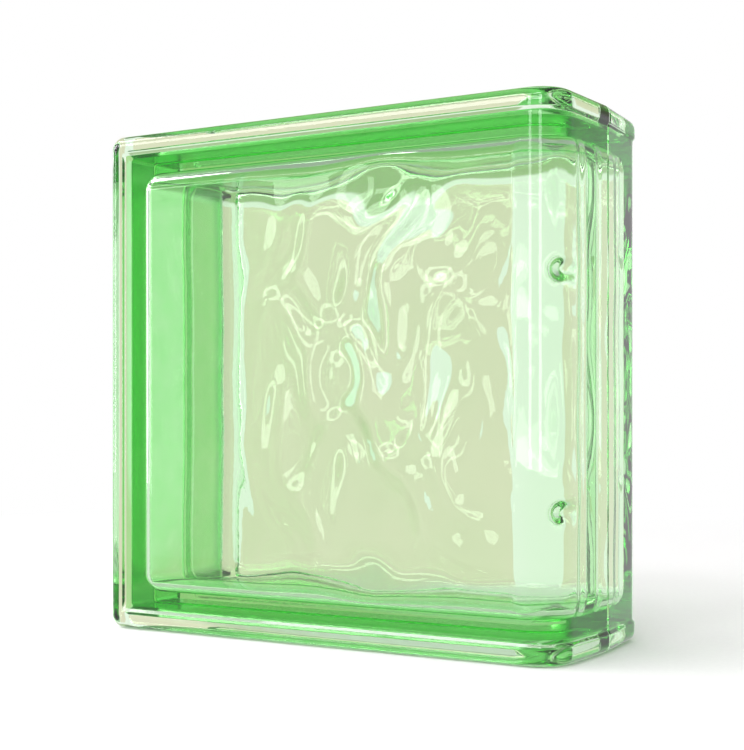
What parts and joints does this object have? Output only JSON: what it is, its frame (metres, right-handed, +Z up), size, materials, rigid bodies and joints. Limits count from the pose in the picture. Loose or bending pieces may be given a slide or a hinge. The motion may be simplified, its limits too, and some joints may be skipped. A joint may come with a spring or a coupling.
{
  "type": "glass block",
  "caption": "Hollow wavy green-edged glass building block with one rounded finished end and mortar channels on the other edges.",
  "frame": {"origin": "middle of the underside, on the plane of the fused seam", "axes": "+X towards the finished rounded end, -Y towards the front face, +Z up"},
  "size_m": [0.19, 0.08, 0.19],
  "materials": {
    "glass": "polished"
  },
  "bodies": {
    "root": {"glass_block": "glass"}
  },
  "joints": []
}
